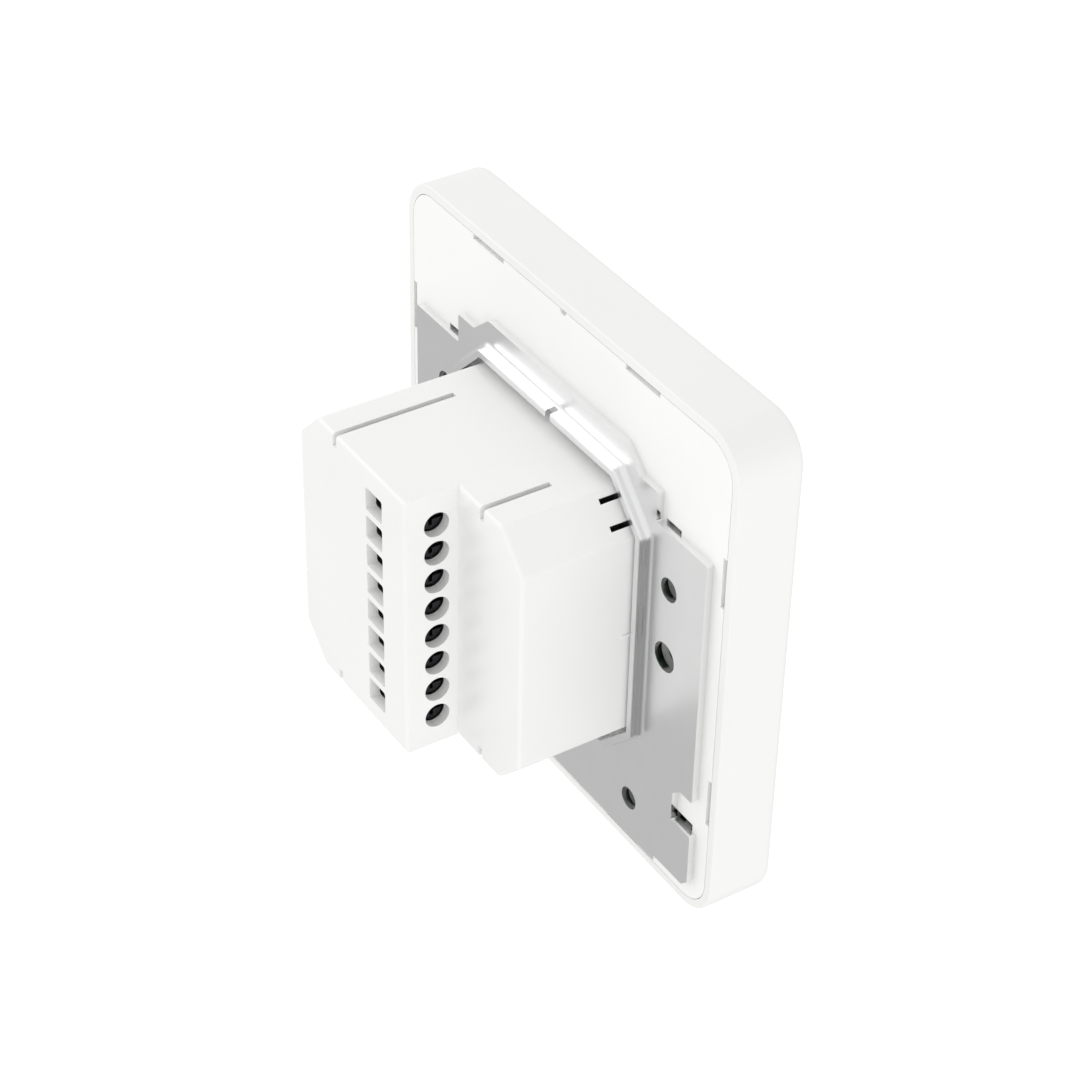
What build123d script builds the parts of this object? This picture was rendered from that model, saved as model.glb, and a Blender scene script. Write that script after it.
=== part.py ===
from build123d import *
import os

# Wall thermostat for an 86 mm box, sizes in millimetres.
# +Z is up. Y = 0 is the wall: the rear face of the steel plate lies on it.
# The front unit looks toward -Y and the power module reaches into the wall along +Y.
# The origin is the centre of the 86 mm front on that wall plane.

# ---- front unit -------------------------------------------------------------
PANEL = 86.0                 # outside width and height of the front shell
PANEL_RADIUS = 7.0
PANEL_FRONT = -12.2          # Y of the front face
PANEL_REAR = -1.2            # Y of the rear face, flush with the rear cover
RIM_WALL = 1.5               # shell wall beside the rear cover
SIDE_WALL = 2.3              # shell wall in front of the cover ledge
FRONT_WALL = 1.8
COVER_THICK = 1.5
COVER_GAP = 0.1
SNAP_PLACES = (-20.0, 20.0)  # snap notches along every side
SNAP_WIDTH = 8.4
SNAP_DEPTH = 0.8

BOARD_SIZE = 76.0
BOARD_FRONT = -6.9
BOARD_REAR = -5.7
BOSS_PLACE = 34.0            # corner screw bosses
BOSS_RADIUS = 2.75

DISPLAY_Z = 12.0             # middle of the display
LENS_SIZE = (62.0, 44.0)
VIEW_SIZE = (56.0, 38.0)
LENS_THICK = 1.0
LCD_SIZE = (59.0, 41.0)

KEY_NAMES = ("power", "mode", "fan", "down", "up")
KEY_PITCH = 13.0
KEY_Z = -26.0
KEY_SIZE = (10.6, 6.0)
KEY_PROUD = 0.5
SWITCH_SIZE = 4.5

# ---- steel plate ------------------------------------------------------------
SHEET = 1.2                  # sheet thickness
WALL_SCREW_X = 30.0          # wall screws stand 60 mm apart
WALL_SCREW_RADIUS = 2.4
SIDE_HOLE = (30.2, 12.2)     # small round hole on each wing
SIDE_HOLE_RADIUS = 1.9
LOW_HOLE = (23.0, -32.2)     # small round hole on each lower corner
LOW_HOLE_RADIUS = 1.85
COLLAR_HEIGHT = 1.84         # collar reaches this far behind the plate
COLLAR_HALF = (24.1, 24.4)   # inside half width and half height
COLLAR_CUT = 6.6
COLLAR_BEND = 0.9            # outer bend radius at the foot of the collar
UPPER_LUG = (28.4, 30.2, 20.6, 21.8)     # X from, X to, Z from, Z to
LOWER_LUG = (35.3, 37.1, -29.2, -28.0)
LUG_TIP = -4.6               # Y of the lug ends

# ---- power module -----------------------------------------------------------
MODULE_Z = 0.3               # middle height of the module
MODULE_HALF = (23.5, 22.85)
MODULE_CUT = 5.5             # leg of the 45 degree corners
MODULE_WALL = 1.6
STEP_REAR = 20.1             # rear face of the low part
RIDGE_REAR = 28.85           # rear face of the high part
RIDGE_X = -6.6               # side face of the high part, with the screw holes
FLANGE_HALF = (25.5, 26.0)
FLANGE_CUT = 6.9
FLANGE_FRONT = -3.0
LID_THICK = 1.0
SLIT_REAR = 4.55             # rear end of the slits in the corners
POWER_BOARD = (6.0, 7.6)     # Y from, Y to

BLOCK_X = (RIDGE_X + MODULE_WALL, 6.4)   # X from, X to of the terminal block
CONTACT_X = (0.9, 1.5)       # X from, X to of the contact strips
SCREW_HEAD_RADIUS = 1.97
TERMINALS = 8
TERMINAL_PITCH = 5.0
TERMINAL_TOP_Z = 17.6
SCREW_Y = 23.55              # depth of the screw axes
SCREW_HOLE_RADIUS = 2.05
WIRE_HOLE = (-0.4, 4.2, 3.9)             # X from, X to, height in Z

HEADER_PLACE = (12.0, -14.0)             # X and Z of the pin header
PIN_PITCH = 2.54
PIN_COLUMNS = 5


def between(low, high):
    """Middle and length of a range."""
    return (low + high) / 2, high - low


def block(x_range, y_range, z_range):
    """A box given by the range it fills on each axis."""
    x_mid, x_len = between(*x_range)
    y_mid, y_len = between(*y_range)
    z_mid, z_len = between(*z_range)
    return Pos(x_mid, y_mid, z_mid) * Box(x_len, y_len, z_len)


def slab(outline, y_range):
    """An X-Z outline made solid over a range of Y."""
    low, high = y_range
    plane = Plane(origin=(0, high, 0), x_dir=(1, 0, 0), z_dir=(0, -1, 0))
    return extrude(plane * outline, amount=high - low, dir=(0, -1, 0))


def rod_y(radius, y_range, x, z):
    """A round rod along Y."""
    middle, length = between(*y_range)
    return Pos(x, middle, z) * Rot(90, 0, 0) * Cylinder(radius, length)


def rod_x(radius, x_range, y, z):
    """A round rod along X."""
    middle, length = between(*x_range)
    return Pos(middle, y, z) * Rot(0, 90, 0) * Cylinder(radius, length)


def rounded(width, height, radius, x=0.0, z=0.0):
    """A rounded rectangle outline."""
    return Pos(x, z) * RectangleRounded(width, height, radius)


def octagon(half_width, half_height, cut, middle_z=MODULE_Z, radius=0.0):
    """A rectangle outline with 45 degree corners, softened by a small radius."""
    w, h = half_width, half_height
    points = [
        (w, h - cut), (w - cut, h), (cut - w, h), (-w, h - cut),
        (-w, cut - h), (cut - w, -h), (w - cut, -h), (w, cut - h),
    ]
    outline = Polygon(*points, align=None)
    if radius > 0:
        outline = fillet(outline.vertices(), radius)
    return Pos(0, middle_z) * outline


def mirrored(shape):
    """The shape together with its mirror image across X = 0."""
    return shape + mirror(shape, about=Plane.YZ)


def terminal_heights():
    return [TERMINAL_TOP_Z - TERMINAL_PITCH * n for n in range(TERMINALS)]


def key_places():
    first = -KEY_PITCH * (len(KEY_NAMES) - 1) / 2
    return [first + KEY_PITCH * n for n in range(len(KEY_NAMES))]


def header_pins_places():
    x_mid, z_mid = HEADER_PLACE
    places = []
    for column in range(PIN_COLUMNS):
        x = x_mid + (column - (PIN_COLUMNS - 1) / 2) * PIN_PITCH
        places.append((x, z_mid - PIN_PITCH / 2))
        places.append((x, z_mid + PIN_PITCH / 2))
    return places


def four_sides(piece):
    """One piece made for the top side, repeated on all four sides."""
    pieces = [Rot(0, 90 * n, 0) * piece for n in range(4)]
    return pieces[0] + pieces[1] + pieces[2] + pieces[3]


# ---- front unit -------------------------------------------------------------

def front_shell():
    """White outer shell: front wall, rim, screw bosses, display and key openings."""
    body = slab(rounded(PANEL, PANEL, PANEL_RADIUS), (PANEL_FRONT, PANEL_REAR))
    body = fillet(body.faces().sort_by(Axis.Y)[0].edges(), 1.2)
    body = fillet(body.faces().sort_by(Axis.Y)[-1].edges(), 0.3)
    ledge = PANEL_REAR - COVER_THICK
    rim = PANEL - 2 * RIM_WALL
    inside = PANEL - 2 * SIDE_WALL
    wall_back = PANEL_FRONT + FRONT_WALL
    body -= slab(rounded(rim, rim, PANEL_RADIUS - RIM_WALL), (ledge, PANEL_REAR + 1))
    body -= slab(rounded(inside, inside, PANEL_RADIUS - SIDE_WALL), (wall_back, ledge + 0.01))
    body -= slab(rounded(*VIEW_SIZE, 1.5, z=DISPLAY_Z), (PANEL_FRONT - 1, wall_back + 1))
    lens_seat = rounded(LENS_SIZE[0] + 0.2, LENS_SIZE[1] + 0.2, 3.1, z=DISPLAY_Z)
    body -= slab(lens_seat, (PANEL_FRONT - 1, PANEL_FRONT + LENS_THICK))
    for x in key_places():
        opening = rounded(KEY_SIZE[0] + 0.4, KEY_SIZE[1] + 0.4, 1.2, x, KEY_Z)
        body -= slab(opening, (PANEL_FRONT - 1, wall_back + 1))
    for x in (-BOSS_PLACE, BOSS_PLACE):
        for z in (-BOSS_PLACE, BOSS_PLACE):
            body += rod_y(BOSS_RADIUS, (wall_back - 0.5, BOARD_FRONT), x, z)
            body -= rod_y(0.85, (wall_back + 0.4, BOARD_FRONT + 1), x, z)
    for place in SNAP_PLACES:
        half = SNAP_WIDTH / 2 - 0.2
        pocket = block((place - half, place + half), (-5.8, -4.1), (40.0, 41.4))
        body -= four_sides(pocket)
    for n in range(9):
        x = (n - 4) * 3.5
        body -= block((x - 0.75, x + 0.75), (-10.0, -6.6), (-44.0, -40.0))
    return body


def display_window():
    """Clear acrylic window set flush into the front shell."""
    window = slab(rounded(*LENS_SIZE, 3.0, z=DISPLAY_Z), (PANEL_FRONT, PANEL_FRONT + LENS_THICK))
    return chamfer(window.faces().sort_by(Axis.Y)[0].edges(), 0.15)


def rear_cover():
    """Flush rear cover with the module pocket, lug windows and snap tongues."""
    size = PANEL - 2 * RIM_WALL - 2 * COVER_GAP
    front = PANEL_REAR - COVER_THICK
    corner = PANEL_RADIUS - RIM_WALL - COVER_GAP
    body = slab(rounded(size, size, corner), (front, PANEL_REAR))
    body += slab(octagon(FLANGE_HALF[0] + 1.2, FLANGE_HALF[1] + 1.2, FLANGE_CUT + 0.7), (-4.3, front))
    body -= slab(octagon(FLANGE_HALF[0] + 0.3, FLANGE_HALF[1] + 0.3, FLANGE_CUT + 0.2), (-3.3, 0))
    body -= mirrored(block((27.2, 30.8), (-4.0, 0), (19.7, 22.4)))
    body -= mirrored(block((32.6, 37.6), (-4.0, 0), (-30.0, -26.8)))
    clearance = rod_y(WALL_SCREW_RADIUS + 0.8, (-4, 0), WALL_SCREW_X, 0)
    clearance += rod_y(SIDE_HOLE_RADIUS + 0.8, (-4, 0), *SIDE_HOLE)
    clearance += rod_y(LOW_HOLE_RADIUS + 0.8, (-4, 0), *LOW_HOLE)
    body -= mirrored(clearance)
    x_mid, z_mid = HEADER_PLACE
    body -= block((x_mid - 7.2, x_mid + 7.2), (-5, -3), (z_mid - 3.3, z_mid + 3.3))
    edge = size / 2
    for place in SNAP_PLACES:
        half = SNAP_WIDTH / 2
        notch = block((place - half, place + half), (-4, 0), (edge - SNAP_DEPTH, edge + 1))
        body -= four_sides(notch)
    for place in SNAP_PLACES:
        half = SNAP_WIDTH / 2 - 0.7
        top = edge - SNAP_DEPTH
        tongue = block((place - half, place + half), (-5.6, front + 0.3), (top - 1.0, top))
        barb = block((place - half, place + half), (-5.6, -4.5), (top - 0.2, top + 0.5))
        tongue += chamfer(barb.edges().filter_by(Axis.X).sort_by(Axis.Y)[:1], 0.4)
        body += four_sides(tongue)
    body -= rod_y(0.8, (-2.0, 0), 0.0, edge)
    return body


def main_board():
    """Control board held on the four corner bosses."""
    body = slab(rounded(BOARD_SIZE, BOARD_SIZE, 4.0), (BOARD_FRONT, BOARD_REAR))
    for x in (-BOSS_PLACE, BOSS_PLACE):
        for z in (-BOSS_PLACE, BOSS_PLACE):
            body -= rod_y(1.1, (-8, -5), x, z)
    return body


def board_screws():
    """Four self tapping screws holding the main board."""
    screws = []
    for x in (-BOSS_PLACE, BOSS_PLACE):
        for z in (-BOSS_PLACE, BOSS_PLACE):
            head = rod_y(1.7, (BOARD_REAR, BOARD_REAR + 1.0), x, z)
            head = fillet(head.edges().sort_by(Axis.Y)[-1], 0.3)
            head += rod_y(0.82, (-9.6, BOARD_REAR + 0.1), x, z)
            head -= block((x - 1.1, x + 1.1), (-5.2, -4), (z - 0.2, z + 0.2))
            head -= block((x - 0.2, x + 0.2), (-5.2, -4), (z - 1.1, z + 1.1))
            screws.append(head)
    return Compound(children=screws)


def lcd_cell():
    """Glass display cell: two glass sheets, the rear one longer at the foot."""
    width, height = LCD_SIZE
    body = block((-width / 2, width / 2), (-9.5, -8.7), (DISPLAY_Z - height / 2, DISPLAY_Z + height / 2))
    body += block(
        (-width / 2, width / 2), (-10.3, -9.5),
        (DISPLAY_Z - height / 2 + 2.5, DISPLAY_Z + height / 2),
    )
    return body


def light_guide():
    """White plastic light guide between the display cell and the board."""
    width, height = LCD_SIZE
    body = slab(rounded(width, height, 1.0, z=DISPLAY_Z), (-8.7, BOARD_FRONT))
    inner = rounded(width - 8, height - 8, 1.0, z=DISPLAY_Z)
    body -= slab(inner, (BOARD_FRONT - 0.8, BOARD_FRONT + 1))
    return body


def backlight_leds():
    """Two side lights, one at each end of the light guide."""
    lights = []
    for side in (-1, 1):
        x = side * (LCD_SIZE[0] / 2 + 1.2)
        light = block((x - 0.8, x + 0.8), (-8.2, BOARD_FRONT), (DISPLAY_Z - 1.5, DISPLAY_Z + 1.5))
        lights.append(light)
    return Compound(children=lights)


def key_symbol(name, x):
    """Shallow engraved sign on the front of a key."""
    depth = (PANEL_FRONT - KEY_PROUD - 1, PANEL_FRONT - KEY_PROUD + 0.15)
    if name == "power":
        ring = Circle(1.5) - Circle(1.15) - Pos(0, 1.3) * Rectangle(1.3, 1.4)
        return slab(Pos(x, KEY_Z) * (ring + Pos(0, 1.2) * Rectangle(0.35, 1.5)), depth)
    if name == "mode":
        frame = Rectangle(3.0, 2.4) - Rectangle(2.3, 1.7)
        return slab(Pos(x, KEY_Z) * frame, depth)
    if name == "fan":
        blade = Pos(0, 0.95) * Circle(0.62)
        blades = blade + Rot(0, 0, 120) * blade + Rot(0, 0, 240) * blade
        return slab(Pos(x, KEY_Z) * blades, depth)
    tip = 1.0 if name == "up" else -1.0
    return slab(Pos(x, KEY_Z) * Polygon((-1.6, -tip), (1.6, -tip), (0, tip), align=None), depth)


def key(name, x):
    """One push key: cap through the shell, flange behind it and a pushing stem."""
    front = PANEL_FRONT - KEY_PROUD
    wall_back = PANEL_FRONT + FRONT_WALL
    cap = slab(rounded(*KEY_SIZE, 1.0, x, KEY_Z), (front, wall_back + 0.15))
    cap = fillet(cap.faces().sort_by(Axis.Y)[0].edges(), 0.35)
    flange = rounded(KEY_SIZE[0] + 1.6, KEY_SIZE[1] + 1.6, 1.5, x, KEY_Z)
    cap += slab(flange, (wall_back + 0.1, wall_back + 0.9))
    cap += rod_y(1.5, (wall_back + 0.8, -8.9), x, KEY_Z)
    return cap - key_symbol(name, x)


def switch_bodies():
    """Five tactile switch housings on the front of the board."""
    bodies = []
    for x in key_places():
        half = SWITCH_SIZE / 2
        body = block((x - half, x + half), (-8.4, BOARD_FRONT), (KEY_Z - half, KEY_Z + half))
        body = chamfer(body.edges().filter_by(Axis.Y), 0.4)
        body -= rod_y(1.15, (-9.0, -7.4), x, KEY_Z)
        bodies.append(body)
    return Compound(children=bodies)


def switch_plunger(x):
    """Moving plunger of one tactile switch."""
    return rod_y(1.1, (-8.9, -7.75), x, KEY_Z)


def controller_chip():
    """Square controller chip with leads on all four sides."""
    x_mid, z_mid = -10.0, 6.0
    leads = (BOARD_REAR, BOARD_REAR + 0.3)
    body = block((x_mid - 5, x_mid + 5), (BOARD_REAR + 0.1, BOARD_REAR + 1.1), (z_mid - 5, z_mid + 5))
    for n in range(9):
        x = x_mid + (n - 4)
        z = z_mid + (n - 4)
        for side in (-1, 1):
            x_end = x_mid + side * 5.5
            z_end = z_mid + side * 5.5
            body += block((x_end - 0.6, x_end + 0.6), leads, (z - 0.2, z + 0.2))
            body += block((x - 0.2, x + 0.2), leads, (z_end - 0.6, z_end + 0.6))
    return body


def temperature_sensor():
    """Room sensor bead on two thin legs behind the bottom air slots."""
    bead = Pos(0, -8.5, -36.2) * Sphere(1.1)
    for x in (-0.5, 0.5):
        bead += rod_y(0.22, (-8.3, BOARD_FRONT), x, -36.2)
    return bead


def board_socket():
    """Socket on the back of the main board that takes the module pins."""
    x_mid, z_mid = HEADER_PLACE
    body = block((x_mid - 6.7, x_mid + 6.7), (BOARD_REAR, -3.6), (z_mid - 2.7, z_mid + 2.7))
    for x, z in header_pins_places():
        body -= rod_y(0.52, (-5.5, -3), x, z)
    return body


# ---- steel plate ------------------------------------------------------------

def plate_outline():
    """Outline of the sheet: top tab, two wings, two side notches and a straight foot."""
    half = [
        (18.0, 30.1), (22.0, 26.7), (26.4, 26.7), (26.4, 21.8), (38.6, 21.8),
        (38.6, -21.3), (35.6, -21.3), (33.8, -22.9), (33.8, -28.0), (38.6, -28.0),
        (38.6, -36.9), (37.2, -38.3), (30.0, -38.3), (30.0, -39.4),
    ]
    other = [(-x, z) for x, z in reversed(half)]
    outline = Polygon(*(half + other), align=None)
    return fillet(outline.vertices(), 0.35)


def bent_lug(x_from, x_to, z_from, z_to):
    """A tab of the sheet bent forward through a window of the rear cover."""
    lug = block((x_from, x_to), (LUG_TIP, 0), (z_from, z_to))
    rear_top = lug.edges().filter_by(Axis.X).sort_by(Axis.Y)[-2:].sort_by(Axis.Z)[-1]
    lug = fillet(rear_top, 1.0)
    return chamfer(lug.edges().filter_by(Axis.Z).sort_by(Axis.Y)[:2], 0.4)


def collar():
    """Rim of the sheet turned back around the module opening."""
    width, height = COLLAR_HALF
    outline = octagon(width + SHEET, height + SHEET, COLLAR_CUT + 0.7, radius=1.6)
    wall = slab(outline, (-SHEET, COLLAR_HEIGHT))
    return fillet(wall.faces().sort_by(Axis.Y)[-1].edges(), 0.4)


def collar_foot(plate):
    """Edges along which the collar rises from the rear face of the plate."""
    reach = COLLAR_HALF[1] + SHEET + 0.7
    rear_edges = plate.edges().filter_by_position(Axis.Y, -0.01, 0.01)
    return [e for e in rear_edges if abs(e.center().X) < reach and abs(e.center().Z) < reach]


def mounting_plate():
    """Galvanised steel wall plate with the turned collar and four bent lugs."""
    width, height = COLLAR_HALF
    plate = slab(plate_outline(), (-SHEET, 0)) + collar()
    plate = fillet(collar_foot(plate), COLLAR_BEND)
    plate -= slab(octagon(width, height, COLLAR_CUT, radius=0.6), (-SHEET - 1, COLLAR_HEIGHT + 1))
    plate -= block((-1.8, -0.6), (0.3, COLLAR_HEIGHT + 1), (23.0, 27.2))
    plate += mirrored(bent_lug(*UPPER_LUG))
    plate += mirrored(bent_lug(*LOWER_LUG))
    holes = rod_y(WALL_SCREW_RADIUS, (-2, 1), WALL_SCREW_X, 0)
    holes += rod_y(SIDE_HOLE_RADIUS, (-2, 1), *SIDE_HOLE)
    holes += rod_y(LOW_HOLE_RADIUS, (-2, 1), *LOW_HOLE)
    return plate - mirrored(holes)


# ---- power module -----------------------------------------------------------

def corner_frame(side_x, side_z):
    """Place at the middle of a 45 degree module corner, local X along the corner face."""
    x = side_x * (MODULE_HALF[0] - MODULE_CUT / 2)
    z = MODULE_Z + side_z * (MODULE_HALF[1] - MODULE_CUT / 2)
    angle = 45 if side_x * side_z > 0 else -45
    return Pos(x, 0, z) * Rot(0, angle, 0)


def corner_cuts(side_x, side_z):
    """Two slits and a cross cut that free a snap tongue in one corner."""
    deep = (-2.4, 2.4)
    cuts = block((1.65, 2.5), (-0.95, SLIT_REAR), deep)
    cuts += block((-2.5, -1.65), (-0.95, SLIT_REAR), deep)
    cuts += block((-2.5, 2.5), (-0.95, -0.45), deep)
    return corner_frame(side_x, side_z) * Pos(-0.4 * side_x, 0, 0) * cuts


def wire_mouth(z):
    """Tapered wire entry through the rear wall of the high part."""
    x_from, x_to, height = WIRE_HOLE
    middle, width = between(x_from, x_to)
    inside = RIDGE_REAR - MODULE_WALL - 0.05
    rear = Plane(origin=(0, RIDGE_REAR + 0.01, 0), x_dir=(1, 0, 0), z_dir=(0, -1, 0))
    deep = Plane(origin=(0, inside, 0), x_dir=(1, 0, 0), z_dir=(0, -1, 0))
    mouth = rear * rounded(width, height, 0.4, middle, z)
    throat = deep * rounded(width - 0.6, height - 0.4, 0.4, middle + 0.1, z)
    return loft([mouth, throat])


def terminal_cell(z):
    """Everything cut out of the terminal block for one terminal."""
    cell = block((-2.9, 5.5), (15.0, 26.1), (z - 2.1, z + 2.1))
    cell += rod_x(SCREW_HEAD_RADIUS + 0.05, (-6, -3.5), SCREW_Y, z)
    cell += rod_x(1.35, (-3.6, -2.8), SCREW_Y, z)
    cell += block((0.2, 4.0), (26.0, 28.0), (z - 1.65, z + 1.65))
    strip_x = (CONTACT_X[0] - 0.05, CONTACT_X[1] + 0.05)
    return cell + block(strip_x, (7.0, 15.1), (z - 1.05, z + 1.05))


def terminal_block():
    """Black terminal block behind the side and rear holes of the high part."""
    y_range = (POWER_BOARD[1], RIDGE_REAR - MODULE_WALL)
    body = block(BLOCK_X, y_range, (MODULE_Z - 20.8, MODULE_Z + 20.8))
    body = chamfer(body.edges().filter_by(Axis.Z), 0.4)
    for z in terminal_heights():
        body -= terminal_cell(z)
    return body


def housing_body():
    """Closed outside form of the module: low part, high part and front flange."""
    outline = octagon(*MODULE_HALF, MODULE_CUT, radius=0.9)
    low = slab(outline, (-2.0, STEP_REAR))
    high = slab(outline, (STEP_REAR - 1, RIDGE_REAR))
    high &= block((RIDGE_X, 30), (0, 40), (-30, 30))
    body = low + high
    rear_rim = body.faces().filter_by(Axis.Y).sort_by(Axis.Y)[-1].edges()
    body = fillet(rear_rim, 0.6)
    step_rim = body.faces().filter_by(Axis.Y).sort_by(Axis.Y)[-2].edges()
    step_rim = step_rim.sort_by(Axis.X)[:-1]
    body = fillet(step_rim, 0.6)
    body += slab(octagon(*FLANGE_HALF, FLANGE_CUT, radius=0.9), (FLANGE_FRONT, -SHEET))
    return body


def housing_room():
    """Inside room of the module, deeper under the high part."""
    wall = MODULE_WALL
    outline = octagon(MODULE_HALF[0] - wall, MODULE_HALF[1] - wall, MODULE_CUT - 0.9)
    low = slab(outline, (FLANGE_FRONT - 1, STEP_REAR - wall))
    high = slab(outline, (0, RIDGE_REAR - wall))
    return low + (high & block((RIDGE_X + wall, 30), (0, 40), (-30, 30)))


def module_housing():
    """White module housing with screw holes, wire entries, vent slots, tongues and side ribs."""
    body = housing_body() - housing_room()
    recess = octagon(MODULE_HALF[0] - 0.1, MODULE_HALF[1] - 0.1, MODULE_CUT)
    body -= slab(recess, (FLANGE_FRONT - 1, FLANGE_FRONT + LID_THICK))
    top = MODULE_Z + MODULE_HALF[1] - MODULE_WALL + 0.1
    low = MODULE_Z - MODULE_HALF[1] + MODULE_WALL - 0.1
    for z in terminal_heights():
        body -= rod_x(SCREW_HOLE_RADIUS, (RIDGE_X - 1, RIDGE_X + MODULE_WALL + 0.1), SCREW_Y, z)
        body -= wire_mouth(z)
    for x in (-13.0, 13.0):
        body -= block((x - 0.5, x + 0.5), (8.8, RIDGE_REAR + 1), (top - 0.6, top + 3))
        body -= block((x - 0.5, x + 0.5), (8.8, RIDGE_REAR + 1), (low - 3, low + 0.6))
    for side_x in (-1, 1):
        for side_z in (-1, 1):
            body -= corner_cuts(side_x, side_z)
    board_rear = POWER_BOARD[1]
    for x in (-9.0, 9.0):
        body += block((x - 1.5, x + 1.5), (board_rear, board_rear + 2), (top - 1.3, top + 0.5))
        body += block((x - 1.5, x + 1.5), (board_rear, board_rear + 2), (low - 0.5, low + 1.3))
    for n in range(4):
        z = 7.3 - n * TERMINAL_PITCH
        body -= block((22.9, 24.0), (RIDGE_REAR - 0.7, RIDGE_REAR + 1), (z - 0.4, z + 0.4))
    for side in (-1, 1):
        outer, inner = side * (MODULE_HALF[0] + 0.3), side * (MODULE_HALF[0] - 0.1)
        body += block((min(outer, inner), max(outer, inner)), (0.5, 3.1), (0.3, 0.7))
    return body


def module_lid():
    """Front lid of the module with the pin opening and four board posts."""
    outline = octagon(MODULE_HALF[0] - 0.2, MODULE_HALF[1] - 0.2, MODULE_CUT)
    body = slab(outline, (FLANGE_FRONT, FLANGE_FRONT + LID_THICK))
    x_mid, z_mid = HEADER_PLACE
    body -= block((x_mid - 7.2, x_mid + 7.2), (-4, -1), (z_mid - 3.3, z_mid + 3.3))
    for x in (-18.5, 18.5):
        for z in (-7.0, 9.0):
            body += rod_y(1.5, (FLANGE_FRONT + 0.5, POWER_BOARD[0]), x, z)
    return body


def power_board():
    """Circuit board of the power module."""
    body = slab(octagon(MODULE_HALF[0] - 2.0, MODULE_HALF[1] - 2.0, MODULE_CUT - 0.6), POWER_BOARD)
    for z in terminal_heights():
        body -= block((0.85, 1.55), (5, 9), (z - 0.5, z + 0.5))
    for x, z in header_pins_places():
        body -= rod_y(0.5, (5, 9), x, z)
    return body


def terminal_screw(z):
    """Clamp screw with a cross slotted head, seated in its side hole."""
    head = rod_x(SCREW_HEAD_RADIUS, (-4.8, -3.55), SCREW_Y, z)
    head = fillet(head.edges().sort_by(Axis.X)[0], 0.25)
    head += rod_x(1.25, (-3.6, 0.7), SCREW_Y, z)
    head -= block((-6, -4.15), (SCREW_Y - 3, SCREW_Y + 3), (z - 0.3, z + 0.3))
    head -= block((-6, -4.15), (SCREW_Y - 0.3, SCREW_Y + 0.3), (z - 1.2, z + 1.2))
    return chamfer(head.faces().sort_by(Axis.X)[-1].edges(), 0.2)


def terminal_clamp(z):
    """Rising wire clamp: a square steel cage drawn up by its screw."""
    half_depth = 2.25
    cage = block((-0.45, 5.1), (SCREW_Y - half_depth, SCREW_Y + half_depth), (z - 1.9, z + 1.9))
    cage = fillet(cage.edges().filter_by(Axis.Y), 0.4)
    cage -= block((0.55, 4.4), (SCREW_Y - 3, SCREW_Y + 3), (z - 1.35, z + 1.35))
    cage -= rod_x(1.3, (-1, 1), SCREW_Y, z)
    for n in range(3):
        y = SCREW_Y - 1.2 + 1.2 * n
        cage -= block((4.3, 4.5), (y - 0.15, y + 0.15), (z - 1.2, z + 1.2))
    return cage


def terminal_contacts():
    """Eight contact strips standing on the power board inside the clamps."""
    strips = []
    for z in terminal_heights():
        strip = block(CONTACT_X, (POWER_BOARD[1] + 0.2, 25.6), (z - 1.0, z + 1.0))
        strip = chamfer(strip.edges().filter_by(Axis.X).group_by(Axis.Y)[-1], 0.4)
        strip += block(CONTACT_X, (4.6, POWER_BOARD[1] + 0.3), (z - 0.45, z + 0.45))
        strips.append(strip)
    return Compound(children=strips)


def relays():
    """Two power relays side by side on the board."""
    pieces = []
    for z_from in (-18.9, 0.5):
        relay = block((8.6, 18.8), (POWER_BOARD[1], 22.9), (z_from, z_from + 18.4))
        relay = fillet(relay.edges().filter_by(Axis.Y), 0.6)
        pieces.append(chamfer(relay.faces().sort_by(Axis.Y)[-1].edges(), 0.4))
    return Compound(children=pieces)


def transformer_core():
    """Ferrite core: closed frame with a middle leg."""
    base = POWER_BOARD[1] + 1.0
    core = block((-20.5, -8.5), (base, base + 9.0), (4.5, 16.5))
    core -= block((-18.6, -10.4), (base - 1, base + 10), (6.4, 9.1))
    core -= block((-18.6, -10.4), (base - 1, base + 10), (11.9, 14.6))
    return core


def transformer_coil():
    """Wound bobbin around the middle leg of the core."""
    base = POWER_BOARD[1] + 1.0
    coil = block((-18.5, -10.5), (base - 1.0, base + 9.8), (6.5, 14.5))
    coil -= block((-19, -10), (base - 0.05, base + 9.05), (9.05, 11.95))
    side = block((-18.5, -10.5), (base - 0.1, base + 9.1), (6.5, 14.5))
    side -= block((-18.2, -10.8), (base - 0.2, base + 9.2), (6.8, 14.2))
    return coil - side


def smoothing_capacitor():
    """Round electrolytic capacitor standing on the board."""
    can = rod_y(4.0, (POWER_BOARD[1], 18.0), -12.4, -2.2)
    can = fillet(can.edges().sort_by(Axis.Y)[-1], 0.5)
    ring = rod_y(5.0, (16.2, 16.8), -12.4, -2.2) - rod_y(3.7, (16.1, 16.9), -12.4, -2.2)
    return can - ring


def mains_capacitor():
    """Boxed film capacitor across the mains input."""
    box = block((-19.5, -7.0), (POWER_BOARD[1], 17.6), (-13.6, -8.4))
    return fillet(box.edges().filter_by(Axis.Y), 0.4)


def surge_disc():
    """Round surge absorber on two legs."""
    disc = rod_x(3.4, (-20.9, -18.1), POWER_BOARD[1] + 5.0, -1.0)
    disc = fillet(disc.edges(), 1.0)
    for z in (-3.0, 1.0):
        disc += rod_y(0.35, (POWER_BOARD[1], POWER_BOARD[1] + 4.0), -19.5, z)
    return disc


def fuse_resistor():
    """Fusible resistor lying on two bent legs."""
    z = -17.0
    y = POWER_BOARD[1] + 2.6
    body = rod_x(1.5, (-14.5, -7.5), y, z)
    body = fillet(body.edges(), 0.5)
    body += rod_x(0.35, (-16.3, -5.7), y, z)
    for x in (-16.0, -6.0):
        body += rod_y(0.35, (POWER_BOARD[1], y + 0.35), x, z)
    return body


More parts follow.
